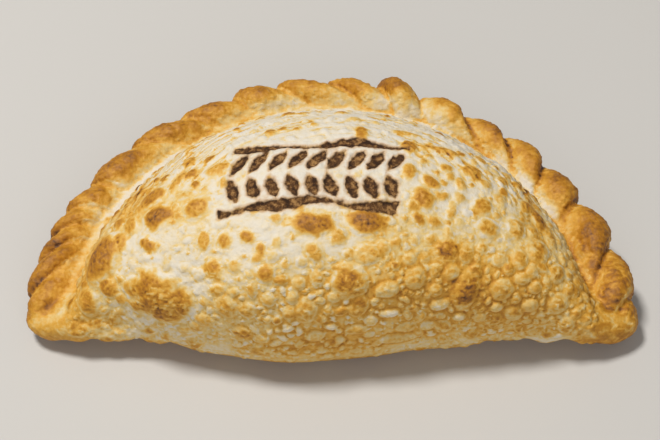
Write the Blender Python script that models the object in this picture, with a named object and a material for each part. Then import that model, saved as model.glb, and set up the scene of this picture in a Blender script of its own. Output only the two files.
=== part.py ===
"""A baked half-moon hand pie with a rope-crimped edge: one solid piece, as pastry that isn't cut.

It lies as it was baked. +X runs from tip to tip, -Y is the folded front, +Y is the crimped back and
+Z is up. The origin is on the surface it rests on, under the middle of its length and depth.
"""

import math

import bmesh
import bpy
import numpy as np
from mathutils import Matrix, Vector, noise

MM = 0.001

# Driving dimensions.
LENGTH = 140 * MM
DEPTH = 78 * MM
HEIGHT = 40 * MM

# The plan: the crimped edge follows a circle about the middle of the line between the two tips,
# a little flattened at the right shoulder.
EDGE_RADIUS = LENGTH / 2
TIP_LINE_Y = DEPTH / 2 - EDGE_RADIUS
SHOULDER_FLATTEN = 0.027

# The filled pocket. Its crown stands a little forward of the middle, its front is plump and its
# back falls away to the seam. It lies on the baking surface except at the two lifted ends.
POCKET_HALF_LENGTH = 57 * MM
FRONT_EXTRA_LENGTH = 4 * MM
POCKET_BACK = 58 * MM
POCKET_FRONT = 0.5 * MM
POCKET_RISE = 28 * MM
CROWN_FORWARD = 0.12
FRONT_ROUNDNESS = 0.72
BACK_ROUNDNESS = 1.75
FOLD_TIP_Z = 5 * MM
FOLD_LIFT = 5.5 * MM
BASE_SUNK = 2.5 * MM
BASE_ROUNDNESS = 0.55
POCKET_SQUARENESS = 0.9
RISE_TAPER = 1.15
BELLY_TAPER = 1.5
END_HALF_THICKNESS = 5 * MM
LIFTED_GIRTH = 0.8

# The seam that the crimp follows lies low at the tips and is lifted at the back.
SEAM_TIP_Z = 5 * MM
SEAM_LIFT = 9.5 * MM
SEAM_ROUNDNESS = 0.8

# The front swells forward of the line between the tips, most of all a little left of the middle.
FRONT_BULGE = 7.5 * MM
BULGE_LEFT = (-52 * MM, -13 * MM)
BULGE_RIGHT = (-10 * MM, 48 * MM)
BULGE_RIGHT_LOSS = 0.75

# The flat rim outside the pocket, and the roll of the crimp along its edge.
RIM_RADIUS = 58 * MM
RIM_HALF_WIDTH = 8 * MM
RIM_HALF_THICKNESS = 2.7 * MM
RIM_SQUARENESS = 0.8
CRIMP_RADIUS = 64.3 * MM
CRIMP_HALF_WIDTH = 4.2 * MM
CRIMP_HALF_THICKNESS = 3.3 * MM
CRIMP_SQUARENESS = 0.85
CRIMP_PROUD_OUT = 2.3 * MM
CRIMP_PROUD_IN = 1.6 * MM
CRIMP_PROUD_UP = 2.7 * MM
CRIMP_LIFTED_FROM = (-1, 0.2)
UNDERSIDE_LIFT = 0.3
CRIMP_SLANT = 0.06
SLANT_WANDER = 0.5
SLANT_WANDER_TURNS = 9.3
EDGE_FROM_DEG = -1
EDGE_TO_DEG = 181
EDGE_TAPER = 0.035

# The folds of the crimp, from the right tip round the back to the left tip: how many degrees of
# the edge each takes up and how plump it is, as no two turns of the thumb are alike.
FOLDS = (
    (5.5, 0.50), (11.5, 1.20), (11.5, 1.30), (11.5, 1.25), (11.0, 1.25), (9.0, 1.05),
    (10.0, 1.10), (9.0, 1.70), (10.5, 1.15), (10.0, 1.05), (9.5, 0.95), (12.0, 0.90),
    (11.5, 0.85), (12.0, 1.00), (7.5, 0.85), (6.0, 0.85), (6.0, 0.80), (6.5, 0.85), (6.5, 0.60),
)
FOLDS_FROM_DEG = 2
FOLDS_TO_DEG = 179
# From this fold on, round the back and left, each fold is steep at its other end.
UPRIGHT_FOLD = 7
BACK_NARROWING = 0.22
FOLD_START_STEEPNESS = 0.38
FOLD_END_STEEPNESS = 0.8

# The two blunt ends, where the crimp turns in under the fold.
END_HALF_SIZE = np.array([20, 8.2, 5.2]) * MM
END_INSET = 20 * MM
END_BACK = 5.5 * MM
END_BLUNTNESS = 0.75

# How the underside lies on the baking surface: the two ends curl up off it.
CURL_LIFT = 3.2 * MM
CURL_TOP = 15 * MM
CURL_BACK_Y = TIP_LINE_Y + 22 * MM
CURL_FROM = (26 * MM, 42 * MM)
CURL_TO = (56 * MM, 66 * MM)
EDGE_WAVE = 0.9 * MM
EDGE_WAVE_LENGTH = 8.6 * MM
EDGE_WAVE_PHASE = 1

# How finely each roll is divided: rings along it and segments round it.
POCKET_RINGS = (128, 192)
RIM_RINGS = (180, 48)
CRIMP_RINGS = (600, 72)
END_SUBDIVISIONS = 5

# The skin's making.
BODY_VOXEL = 1.2 * MM
BODY_SOFTENING = 11
VOXEL = 0.8 * MM
SKIN_SOFTENING = 2
UNEVEN_SIZE = 14 * MM
UNEVEN_HEIGHT = 0.8 * MM
MOST_TRIANGLES = 7500
BOARD_GAP = 30 * MM

CRUST_COLOUR = (0.78, 0.55, 0.27, 1)
CRUST_ROUGHNESS = 0.6


def clear_scene():
    for piece in list(bpy.data.objects):
        bpy.data.objects.remove(piece, do_unlink=True)


def signed_power(value, exponent):
    return np.copysign(np.abs(value) ** exponent, value)


def ease(low, high, value):
    """Runs smoothly from 0 at low to 1 at high."""
    reach = np.clip((value - low) / (high - low), 0, 1)
    return reach * reach * (3 - 2 * reach)


# Each roll of dough is given by how far along it a place is, from 0 to 1, and by the turn round
# its section.


def pocket_shape(reach, turn):
    """Skin of the pocket: turn 0 is the seam at the back, a quarter turn on is the crown."""
    along = -np.cos(math.pi * reach)
    girth = np.sin(math.pi * reach)
    up = np.sin(turn)
    across = signed_power(np.cos(turn), POCKET_SQUARENESS)
    backness = (1 + across) / 2
    x = along * (POCKET_HALF_LENGTH + FRONT_EXTRA_LENGTH * (1 - backness))
    bulge = FRONT_BULGE * ease(*BULGE_LEFT, x) * (1 - BULGE_RIGHT_LOSS * ease(*BULGE_RIGHT, x))
    front = TIP_LINE_Y - POCKET_FRONT - bulge
    back = TIP_LINE_Y + POCKET_BACK * girth
    leant = across - CROWN_FORWARD * np.maximum(up, 0) ** 2
    y = (front + back) / 2 + leant * (back - front) / 2
    seam_z = SEAM_TIP_Z + SEAM_LIFT * girth**SEAM_ROUNDNESS
    fold_z = FOLD_TIP_Z + FOLD_LIFT * girth
    widest_z = fold_z + (seam_z - fold_z) * backness
    roundness = FRONT_ROUNDNESS + (BACK_ROUNDNESS - FRONT_ROUNDNESS) * backness
    top = widest_z + POCKET_RISE * girth**RISE_TAPER * np.maximum(up, 0) ** roundness
    full_depth = widest_z + BASE_SUNK - END_HALF_THICKNESS
    depth = END_HALF_THICKNESS + full_depth * np.minimum(girth / LIFTED_GIRTH, 1) ** BELLY_TAPER
    bottom = widest_z - depth * np.abs(up) ** BASE_ROUNDNESS
    return np.column_stack([x, y, np.where(up > 0, top, bottom)])


def edge_shape(reach, radius, half_width, half_height, section):
    """A roll round the crimped edge; section gives places across and up, in half sizes."""
    angle = np.radians(EDGE_FROM_DEG + (EDGE_TO_DEG - EDGE_FROM_DEG) * reach)
    taper = np.clip(np.minimum(reach, 1 - reach) / EDGE_TAPER, 0, 1) ** 0.5
    across, up = section(angle)
    out = radius + across * half_width * taper
    out *= 1 - np.where(angle < math.pi / 2, SHOULDER_FLATTEN * np.sin(2 * angle), 0)
    seam_z = SEAM_TIP_Z + SEAM_LIFT * np.maximum(np.sin(angle), 0) ** SEAM_ROUNDNESS
    z = seam_z + up * half_height * taper
    return np.column_stack([np.cos(angle) * out, TIP_LINE_Y + np.sin(angle) * out, z])


def rim_shape(reach, turn):
    def section(angle):
        return signed_power(np.cos(turn), RIM_SQUARENESS), signed_power(np.sin(turn), RIM_SQUARENESS)

    return edge_shape(reach, RIM_RADIUS, RIM_HALF_WIDTH, RIM_HALF_THICKNESS, section)


def crimp_pride(angle, across):
    """How proud a place on the crimp stands, against a usual fold's crest: each fold is steep at one
    end and sinks away at the other, and its creases slant across the edge."""
    spans = np.array([span for span, _ in FOLDS])
    spans *= math.radians(FOLDS_TO_DEG - FOLDS_FROM_DEG) / spans.sum()
    starts = math.radians(FOLDS_FROM_DEG) + np.cumsum(spans) - spans
    slant = CRIMP_SLANT * (1 + SLANT_WANDER * np.sin(SLANT_WANDER_TURNS * angle))
    slanted = angle - slant * (across - 1)
    fold = np.clip(np.searchsorted(starts, slanted, side="right") - 1, 0, len(FOLDS) - 1)
    along = np.clip((slanted - starts[fold]) / spans[fold], 0, 1)
    along = np.where(fold < UPRIGHT_FOLD, along, 1 - along)
    crest = FOLD_START_STEEPNESS / (FOLD_START_STEEPNESS + FOLD_END_STEEPNESS)
    highest = crest**FOLD_START_STEEPNESS * (1 - crest) ** FOLD_END_STEEPNESS
    rise = along**FOLD_START_STEEPNESS * (1 - along) ** FOLD_END_STEEPNESS / highest
    plump = np.array([plump for _, plump in FOLDS])
    return plump[fold] * rise


def crimp_shape(reach, turn):
    def section(angle):
        across = signed_power(np.cos(turn), CRIMP_SQUARENESS)
        up = signed_power(np.sin(turn), CRIMP_SQUARENESS)
        proud = crimp_pride(angle, across)
        across = 1 - (1 - across) * (1 - BACK_NARROWING * np.maximum(np.sin(angle), 0) ** 3)
        out = CRIMP_PROUD_OUT / CRIMP_HALF_WIDTH * proud * np.maximum(across, 0)
        out += CRIMP_PROUD_IN / CRIMP_HALF_WIDTH * proud * np.minimum(across, 0)
        lift = CRIMP_PROUD_UP / CRIMP_HALF_THICKNESS * proud * ease(*CRIMP_LIFTED_FROM, across)
        return across + out, up * (1 + lift * np.where(up > 0, 1, UNDERSIDE_LIFT))

    return edge_shape(reach, CRIMP_RADIUS, CRIMP_HALF_WIDTH, CRIMP_HALF_THICKNESS, section)


def add_roll(dough, rings, segments, shape):
    made = bmesh.ops.create_uvsphere(dough, u_segments=segments, v_segments=rings, radius=1)
    sphere = np.array([vert.co for vert in made["verts"]])
    reach = np.arccos(np.clip(-sphere[:, 2], -1, 1)) / math.pi
    turn = np.arctan2(sphere[:, 1], sphere[:, 0])
    for vert, place in zip(made["verts"], shape(reach, turn)):
        vert.co = place


def add_ends(dough):
    for side in (-1, 1):
        middle = np.array([side * (EDGE_RADIUS - END_INSET), TIP_LINE_Y + END_BACK, SEAM_TIP_Z])
        made = bmesh.ops.create_icosphere(dough, subdivisions=END_SUBDIVISIONS, radius=1)
        for vert in made["verts"]:
            vert.co = middle + signed_power(np.array(vert.co), END_BLUNTNESS) * END_HALF_SIZE


def bake_modifiers(piece):
    """Keeps the evaluated shape as the object's own mesh."""
    graph = bpy.context.evaluated_depsgraph_get()
    shape = bpy.data.meshes.new_from_object(piece.evaluated_get(graph))
    piece.modifiers.clear()
    piece.data = shape


def run_together(dough, name, voxel, softening):
    """One closed skin round all the shapes in the dough."""
    mesh = bpy.data.meshes.new(name)
    dough.to_mesh(mesh)
    dough.free()
    piece = bpy.data.objects.new(name, mesh)
    bpy.context.scene.collection.objects.link(piece)
    remesh = piece.modifiers.new("one skin", "REMESH")
    remesh.mode = "VOXEL"
    remesh.voxel_size = voxel
    soften = piece.modifiers.new("soften", "SMOOTH")
    soften.factor = 0.5
    soften.iterations = softening
    bake_modifiers(piece)
    return piece


def dough_skin():
    """The pocket with its blunt ends, softened, and then the rim and the crimp laid on it."""
    body = bmesh.new()
    add_roll(body, *POCKET_RINGS, pocket_shape)
    add_ends(body)
    pocket = run_together(body, "pocket", BODY_VOXEL, BODY_SOFTENING)
    dough = bmesh.new()
    dough.from_mesh(pocket.data)
    bpy.data.objects.remove(pocket)
    add_roll(dough, *RIM_RINGS, rim_shape)
    add_roll(dough, *CRIMP_RINGS, crimp_shape)
    return run_together(dough, "empanada", VOXEL, SKIN_SOFTENING)


def fit_to_size(crust):
    """Brings the skin to the true length and depth, with its crown at the true height."""
    points = [vert.co for vert in crust.data.vertices]
    low = Vector((min(p.x for p in points), min(p.y for p in points), 0))
    high = Vector((max(p.x for p in points), max(p.y for p in points), max(p.z for p in points)))
    scale = Vector((LENGTH / (high.x - low.x), DEPTH / (high.y - low.y), HEIGHT / high.z))
    middle = Vector(((low.x + high.x) / 2, (low.y + high.y) / 2, 0))
    crust.data.transform(Matrix.Diagonal(scale).to_4x4() @ Matrix.Translation(-middle))


def make_uneven(crust):
    """Home-made dough is never quite even: a gentle swell over the whole skin."""
    swells = [
        vert.normal * noise.noise(vert.co / UNEVEN_SIZE) * UNEVEN_HEIGHT
        for vert in crust.data.vertices
    ]
    for vert, swell in zip(crust.data.vertices, swells):
        vert.co += swell


def curl_ends(crust):
    """Curls up the two ends of the folded front and waves its lower edge."""
    for vert in crust.data.vertices:
        x, y, z = vert.co
        reach = abs(x)
        curl = ease(*CURL_FROM, reach) * (1 - ease(*CURL_TO, reach))
        front = 1 - ease(TIP_LINE_Y, CURL_BACK_Y, y)
        low = min(max(1 - z / CURL_TOP, 0), 1)
        wave = EDGE_WAVE * math.sin(reach / EDGE_WAVE_LENGTH * math.tau + EDGE_WAVE_PHASE)
        vert.co.z += (CURL_LIFT + wave) * curl * front * low


def thin_out(crust):
    """Brings the skin down to a light count of triangles."""
    triangles = sum(len(face.vertices) - 2 for face in crust.data.polygons)
    decimate = crust.modifiers.new("fewer triangles", "DECIMATE")
    decimate.ratio = MOST_TRIANGLES / triangles
    decimate.use_collapse_triangulate = True


def flatten_base(crust):
    """Cuts off what lies below the baking surface, which leaves the flat underside."""
    bm = bmesh.new()
    bmesh.ops.create_cube(bm, size=1)
    mesh = bpy.data.meshes.new("baking_surface")
    bm.to_mesh(mesh)
    bm.free()
    board = bpy.data.objects.new("baking_surface", mesh)
    mesh.transform(Matrix.Diagonal(Vector((2 * LENGTH, 2 * DEPTH, BOARD_GAP))).to_4x4())
    board.location.z = -BOARD_GAP / 2
    board.hide_render = True
    board.display_type = "WIRE"
    bpy.context.scene.collection.objects.link(board)
    cut = crust.modifiers.new("flat base", "BOOLEAN")
    cut.operation = "DIFFERENCE"
    cut.solver = "EXACT"
    cut.object = board


def crust_material():
    material = bpy.data.materials.new("baked crust")
    material.use_nodes = True
    shader = material.node_tree.nodes["Principled BSDF"]
    shader.inputs["Base Color"].default_value = CRUST_COLOUR
    shader.inputs["Roughness"].default_value = CRUST_ROUGHNESS
    shader.inputs["Metallic"].default_value = 0
    return material


def build_empanada():
    crust = dough_skin()
    fit_to_size(crust)
    make_uneven(crust)
    curl_ends(crust)
    fit_to_size(crust)
    thin_out(crust)
    bake_modifiers(crust)
    flatten_base(crust)
    crust.data.materials.append(crust_material())
    for face in crust.data.polygons:
        face.use_smooth = True


clear_scene()
build_empanada()
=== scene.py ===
"""The looks of a baked half-moon hand pie: a blistered, unevenly browned crust with a rope crimp."""

import math

import bmesh
import bpy
import numpy as np
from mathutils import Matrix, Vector, noise
from mathutils.bvhtree import BVHTree
from mathutils.kdtree import KDTree


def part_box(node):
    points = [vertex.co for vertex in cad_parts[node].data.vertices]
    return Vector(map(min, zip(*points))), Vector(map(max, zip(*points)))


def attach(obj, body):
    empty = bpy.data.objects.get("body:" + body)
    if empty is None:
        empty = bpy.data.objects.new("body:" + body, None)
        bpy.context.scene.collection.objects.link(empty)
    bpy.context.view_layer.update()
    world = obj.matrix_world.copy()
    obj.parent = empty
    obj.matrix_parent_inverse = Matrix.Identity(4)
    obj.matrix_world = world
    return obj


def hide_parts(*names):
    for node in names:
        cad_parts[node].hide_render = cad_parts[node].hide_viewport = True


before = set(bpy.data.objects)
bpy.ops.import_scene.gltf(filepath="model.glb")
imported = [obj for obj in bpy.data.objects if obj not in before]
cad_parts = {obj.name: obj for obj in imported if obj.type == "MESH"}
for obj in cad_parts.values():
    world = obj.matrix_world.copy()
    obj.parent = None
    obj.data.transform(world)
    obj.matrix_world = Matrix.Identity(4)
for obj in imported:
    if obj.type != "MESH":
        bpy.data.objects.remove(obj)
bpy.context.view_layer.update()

MM = 0.001
NODE = "empanada"
SKIN_LOW, SKIN_HIGH = (Vector(corner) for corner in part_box(NODE))
LENGTH = SKIN_HIGH.x - SKIN_LOW.x
DEPTH = SKIN_HIGH.y - SKIN_LOW.y
HEIGHT = SKIN_HIGH.z - SKIN_LOW.z

# The plan, as the solid has it: a round crimped edge about the middle of the line between the tips.
EDGE_RADIUS = LENGTH / 2
TIP_LINE_Y = DEPTH / 2 - EDGE_RADIUS
SHOULDER_FLATTEN = 0.027

# The filled pocket.
POCKET_HALF_LENGTH = 57 * MM
FRONT_EXTRA_LENGTH = 4 * MM
POCKET_BACK = 58 * MM
POCKET_FRONT = 0.5 * MM
POCKET_RISE = 28 * MM
CROWN_FORWARD = 0.12
FRONT_ROUNDNESS = 0.72
BACK_ROUNDNESS = 1.75
FOLD_TIP_Z = 5 * MM
FOLD_LIFT = 5.5 * MM
BASE_SUNK = 2.5 * MM
BASE_ROUNDNESS = 0.55
POCKET_SQUARENESS = 0.9
RISE_TAPER = 1.15
BELLY_TAPER = 1.5
END_HALF_THICKNESS = 5 * MM
LIFTED_GIRTH = 0.8
SEAM_TIP_Z = 5 * MM
SEAM_LIFT = 9.5 * MM
SEAM_ROUNDNESS = 0.8

# The front swells forward of the line between the tips, most of all a little left of the middle.
FRONT_BULGE = 7.5 * MM
BULGE_LEFT = (-52 * MM, -13 * MM)
BULGE_RIGHT = (-10 * MM, 48 * MM)
BULGE_RIGHT_LOSS = 0.75

# The flat rim outside the pocket, and the roll of the crimp along its edge.
RIM_RADIUS = 58 * MM
RIM_HALF_WIDTH = 8 * MM
RIM_HALF_THICKNESS = 2.7 * MM
RIM_SQUARENESS = 0.8
CRIMP_RADIUS = 64.3 * MM
CRIMP_HALF_WIDTH = 4.2 * MM
CRIMP_HALF_THICKNESS = 3.3 * MM
CRIMP_SQUARENESS = 0.85
CRIMP_PROUD_OUT = 2.3 * MM
CRIMP_PROUD_IN = 1.6 * MM
CRIMP_PROUD_UP = 2.7 * MM
CRIMP_LIFTED_FROM = (-1, 0.2)
UNDERSIDE_LIFT = 0.3
CRIMP_SLANT = 0.06
SLANT_WANDER = 0.5
SLANT_WANDER_TURNS = 9.3
EDGE_FROM_DEG = -1
EDGE_TO_DEG = 181
EDGE_TAPER = 0.035

# The folds of the crimp, from the right tip round the back to the left tip: how many degrees of
# the edge each takes up, how plump it is, and how brown its top has baked.
FOLDS = (
    (5.5, 0.50, 0.68), (11.5, 1.20, 0.80), (11.5, 1.30, 0.79), (11.5, 1.25, 0.75),
    (11.0, 1.25, 0.72), (9.0, 1.05, 0.70), (10.0, 1.10, 0.66), (9.0, 1.70, 0.78),
    (10.5, 1.15, 0.64), (10.0, 1.05, 0.66), (9.5, 0.95, 0.66), (12.0, 0.90, 0.70),
    (11.5, 0.85, 0.72), (12.0, 1.00, 0.76), (7.5, 0.85, 0.74), (6.0, 0.85, 0.74),
    (6.0, 0.80, 0.72), (6.5, 0.85, 0.74), (6.5, 0.60, 0.70),
)
FOLDS_FROM_DEG = 2
FOLDS_TO_DEG = 179
# From this fold on, round the back and left, each fold is steep at its other end.
UPRIGHT_FOLD = 7
BACK_NARROWING = 0.22
FOLD_START_STEEPNESS = 0.38
FOLD_END_STEEPNESS = 0.8

# The two blunt ends, where the crimp turns in under the fold.
END_HALF_SIZE = np.array([20, 8.2, 5.2]) * MM
END_INSET = 20 * MM
END_BACK = 5.5 * MM
END_BLUNTNESS = 0.75

# The line inside the pie that places on the dome are measured round: 0 degrees points to the back,
# 90 straight up and 180 to the front.
SPINE_Y = -4 * MM
SPINE_Z = 8 * MM

# How finely each roll is divided: rings along it and segments round it.
POCKET_RINGS = (128, 192)
RIM_RINGS = (180, 48)
CRIMP_RINGS = (600, 72)
END_SUBDIVISIONS = 5

BODY_VOXEL = 1.0 * MM
BODY_SOFTENING = 16
VOXEL = 0.42 * MM
SKIN_SOFTENING = 2
MOST_TRIANGLES = 195000


def signed_power(value, exponent):
    return np.copysign(np.abs(value) ** exponent, value)


def ease(low, high, value):
    """Runs smoothly from 0 at low to 1 at high."""
    reach = np.clip((value - low) / (high - low), 0, 1)
    return reach * reach * (3 - 2 * reach)


# The dough's form. Each roll of dough is given by how far along it a place is, from 0 to 1, and by
# the turn round its section.


def pocket_shape(reach, turn):
    """Skin of the pocket: turn 0 is the seam at the back, a quarter turn on is the crown."""
    along = -np.cos(math.pi * reach)
    girth = np.sin(math.pi * reach)
    up = np.sin(turn)
    across = signed_power(np.cos(turn), POCKET_SQUARENESS)
    backness = (1 + across) / 2
    x = along * (POCKET_HALF_LENGTH + FRONT_EXTRA_LENGTH * (1 - backness))
    bulge = FRONT_BULGE * ease(*BULGE_LEFT, x) * (1 - BULGE_RIGHT_LOSS * ease(*BULGE_RIGHT, x))
    front = TIP_LINE_Y - POCKET_FRONT - bulge
    back = TIP_LINE_Y + POCKET_BACK * girth
    leant = across - CROWN_FORWARD * np.maximum(up, 0) ** 2
    y = (front + back) / 2 + leant * (back - front) / 2
    seam_z = SEAM_TIP_Z + SEAM_LIFT * girth**SEAM_ROUNDNESS
    fold_z = FOLD_TIP_Z + FOLD_LIFT * girth
    widest_z = fold_z + (seam_z - fold_z) * backness
    roundness = FRONT_ROUNDNESS + (BACK_ROUNDNESS - FRONT_ROUNDNESS) * backness
    top = widest_z + POCKET_RISE * girth**RISE_TAPER * np.maximum(up, 0) ** roundness
    full_depth = widest_z + BASE_SUNK - END_HALF_THICKNESS
    depth = END_HALF_THICKNESS + full_depth * np.minimum(girth / LIFTED_GIRTH, 1) ** BELLY_TAPER
    bottom = widest_z - depth * np.abs(up) ** BASE_ROUNDNESS
    return np.column_stack([x, y, np.where(up > 0, top, bottom)])


def edge_shape(reach, radius, half_width, half_height, section):
    """A roll round the crimped edge; section gives places across and up, in half sizes."""
    angle = np.radians(EDGE_FROM_DEG + (EDGE_TO_DEG - EDGE_FROM_DEG) * reach)
    taper = np.clip(np.minimum(reach, 1 - reach) / EDGE_TAPER, 0, 1) ** 0.5
    across, up = section(angle)
    out = radius + across * half_width * taper
    out *= 1 - np.where(angle < math.pi / 2, SHOULDER_FLATTEN * np.sin(2 * angle), 0)
    seam_z = SEAM_TIP_Z + SEAM_LIFT * np.maximum(np.sin(angle), 0) ** SEAM_ROUNDNESS
    z = seam_z + up * half_height * taper
    return np.column_stack([np.cos(angle) * out, TIP_LINE_Y + np.sin(angle) * out, z])


def rim_shape(reach, turn):
    def section(angle):
        return signed_power(np.cos(turn), RIM_SQUARENESS), signed_power(np.sin(turn), RIM_SQUARENESS)

    return edge_shape(reach, RIM_RADIUS, RIM_HALF_WIDTH, RIM_HALF_THICKNESS, section)


def fold_places(angle, across):
    """The fold that a place on the crimp is in, how far along that fold, and how proud it stands:
    each fold starts steeply and sinks under the next, and its creases slant across the edge."""
    spans = np.array([span for span, _, _ in FOLDS])
    spans *= math.radians(FOLDS_TO_DEG - FOLDS_FROM_DEG) / spans.sum()
    starts = math.radians(FOLDS_FROM_DEG) + np.cumsum(spans) - spans
    slant = CRIMP_SLANT * (1 + SLANT_WANDER * np.sin(SLANT_WANDER_TURNS * angle))
    slanted = angle - slant * (across - 1)
    fold = np.clip(np.searchsorted(starts, slanted, side="right") - 1, 0, len(FOLDS) - 1)
    along = np.clip((slanted - starts[fold]) / spans[fold], 0, 1)
    along = np.where(fold < UPRIGHT_FOLD, along, 1 - along)
    crest = FOLD_START_STEEPNESS / (FOLD_START_STEEPNESS + FOLD_END_STEEPNESS)
    highest = crest**FOLD_START_STEEPNESS * (1 - crest) ** FOLD_END_STEEPNESS
    rise = along**FOLD_START_STEEPNESS * (1 - along) ** FOLD_END_STEEPNESS / highest
    plump = np.array([plump for _, plump, _ in FOLDS])
    return fold, along, plump[fold] * rise


def crimp_shape(reach, turn):
    def section(angle):
        across = signed_power(np.cos(turn), CRIMP_SQUARENESS)
        up = signed_power(np.sin(turn), CRIMP_SQUARENESS)
        _, _, proud = fold_places(angle, across)
        across = 1 - (1 - across) * (1 - BACK_NARROWING * np.maximum(np.sin(angle), 0) ** 3)
        out = CRIMP_PROUD_OUT / CRIMP_HALF_WIDTH * proud * np.maximum(across, 0)
        out += CRIMP_PROUD_IN / CRIMP_HALF_WIDTH * proud * np.minimum(across, 0)
        lift = CRIMP_PROUD_UP / CRIMP_HALF_THICKNESS * proud * ease(*CRIMP_LIFTED_FROM, across)
        return across + out, up * (1 + lift * np.where(up > 0, 1, UNDERSIDE_LIFT))

    return edge_shape(reach, CRIMP_RADIUS, CRIMP_HALF_WIDTH, CRIMP_HALF_THICKNESS, section)


def add_roll(dough, rings, segments, shape):
    made = bmesh.ops.create_uvsphere(dough, u_segments=segments, v_segments=rings, radius=1)
    sphere = np.array([vert.co for vert in made["verts"]])
    reach = np.arccos(np.clip(-sphere[:, 2], -1, 1)) / math.pi
    turn = np.arctan2(sphere[:, 1], sphere[:, 0])
    for vert, place in zip(made["verts"], shape(reach, turn)):
        vert.co = place


def add_ends(dough):
    for side in (-1, 1):
        middle = np.array([side * (EDGE_RADIUS - END_INSET), TIP_LINE_Y + END_BACK, SEAM_TIP_Z])
        made = bmesh.ops.create_icosphere(dough, subdivisions=END_SUBDIVISIONS, radius=1)
        for vert in made["verts"]:
            vert.co = middle + signed_power(np.array(vert.co), END_BLUNTNESS) * END_HALF_SIZE


def bake_modifiers(piece):
    """Keeps the evaluated shape as the object's own mesh."""
    graph = bpy.context.evaluated_depsgraph_get()
    shape = bpy.data.meshes.new_from_object(piece.evaluated_get(graph))
    piece.modifiers.clear()
    piece.data = shape


def run_together(dough, name, voxel, softening):
    """One closed skin round all the shapes in the dough."""
    mesh = bpy.data.meshes.new(name)
    dough.to_mesh(mesh)
    dough.free()
    piece = bpy.data.objects.new(name, mesh)
    bpy.context.scene.collection.objects.link(piece)
    remesh = piece.modifiers.new("one skin", "REMESH")
    remesh.mode = "VOXEL"
    remesh.voxel_size = voxel
    soften = piece.modifiers.new("soften", "SMOOTH")
    soften.factor = 0.5
    soften.iterations = softening
    bake_modifiers(piece)
    return piece


def dough_skin():
    """The pocket with its blunt ends, softened, and then the rim and the crimp laid on it."""
    body = bmesh.new()
    add_roll(body, *POCKET_RINGS, pocket_shape)
    add_ends(body)
    pocket = run_together(body, "pocket", BODY_VOXEL, BODY_SOFTENING)
    dough = bmesh.new()
    dough.from_mesh(pocket.data)
    bpy.data.objects.remove(pocket)
    add_roll(dough, *RIM_RINGS, rim_shape)
    add_roll(dough, *CRIMP_RINGS, crimp_shape)
    return run_together(dough, "crust", VOXEL, SKIN_SOFTENING)


# Reading and writing the skin's points.


def skin_points(crust):
    points = np.empty(len(crust.data.vertices) * 3, dtype=np.float32)
    crust.data.vertices.foreach_get("co", points)
    return points.reshape(-1, 3).astype(float)


def set_skin_points(crust, points):
    crust.data.vertices.foreach_set("co", points.astype(np.float32).ravel())
    crust.data.update()


def skin_normals(crust):
    normals = np.empty(len(crust.data.vertices) * 3, dtype=np.float32)
    crust.data.vertex_normals.foreach_get("vector", normals)
    return normals.reshape(-1, 3).astype(float)


def set_attribute(crust, name, values):
    layer = crust.data.attributes.new(name, "FLOAT", "POINT")
    layer.data.foreach_set("value", values.astype(np.float32))


def dough_noise(points, size, seed=0, octaves=1):
    """Smooth noise of about -1 to 1 over the points, with features of the given size."""
    shift = Vector((seed * 17.3, seed * 5.9, seed * 11.1))
    values = np.zeros(len(points))
    strength = 1.0
    for _ in range(octaves):
        scaled = points / size
        values += strength * np.array([noise.noise(Vector(place) + shift) for place in scaled])
        strength /= 2
        size /= 2
    return values


def pebbles(points, size, seed=0):
    """Rounded cells packed side by side, 1 at each one's middle and 0 in the gaps between."""
    shift = Vector((seed * 7.7, seed * 3.1, seed * 13.9))
    heights = np.empty(len(points))
    for index, place in enumerate(points / size):
        gaps, _ = noise.voronoi(Vector(place) + shift)
        heights[index] = gaps[1] - gaps[0]
    return np.clip(heights * 2.2, 0, 1) ** 0.7


def hollows(crust, points, normals, passes):
    """How deep each point lies below the skin round it, in metres: creases count up from 0."""
    ends = np.empty(len(crust.data.edges) * 2, dtype=np.int32)
    crust.data.edges.foreach_get("vertices", ends)
    one, other = ends.reshape(-1, 2).T
    count = np.bincount(one, minlength=len(points)) + np.bincount(other, minlength=len(points))
    smooth = points.copy()
    for _ in range(passes):
        mean = np.empty_like(smooth)
        for axis in range(3):
            total = np.bincount(one, smooth[other, axis], len(points))
            total += np.bincount(other, smooth[one, axis], len(points))
            mean[:, axis] = total / count
        smooth = mean
    return ((smooth - points) * normals).sum(axis=1)


def fit_to_solid(points):
    """Brings the skin to the solid's length, depth and height."""
    low = points.min(axis=0)
    high = points.max(axis=0)
    low[2] = 0
    points = points - [(low[0] + high[0]) / 2, (low[1] + high[1]) / 2, 0]
    scale = [LENGTH / (high[0] - low[0]), DEPTH / (high[1] - low[1]), HEIGHT / high[2]]
    return points * scale + [(SKIN_LOW.x + SKIN_HIGH.x) / 2, (SKIN_LOW.y + SKIN_HIGH.y) / 2, 0]


# How the fold's underside lies on the baking surface: the two ends curl up off it, and the lower edge
# waves. Pairs are where something starts and where it is full, measured from the middle.
CURL_LIFT = 3.2 * MM
CURL_TOP = 15 * MM
CURL_BACK_Y = TIP_LINE_Y + 22 * MM
CURL_FROM = (26 * MM, 42 * MM)
CURL_TO = (56 * MM, 66 * MM)
EDGE_WAVE = 0.9 * MM
EDGE_WAVE_SIZE = 5.5 * MM
EDGE_WAVES = 4
EDGE_WAVE_PHASE = 1
WAVE_FROM = (24 * MM, 40 * MM)
SWELL_SIZE = 14 * MM
SWELL_HEIGHT = 0.8 * MM


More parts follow.
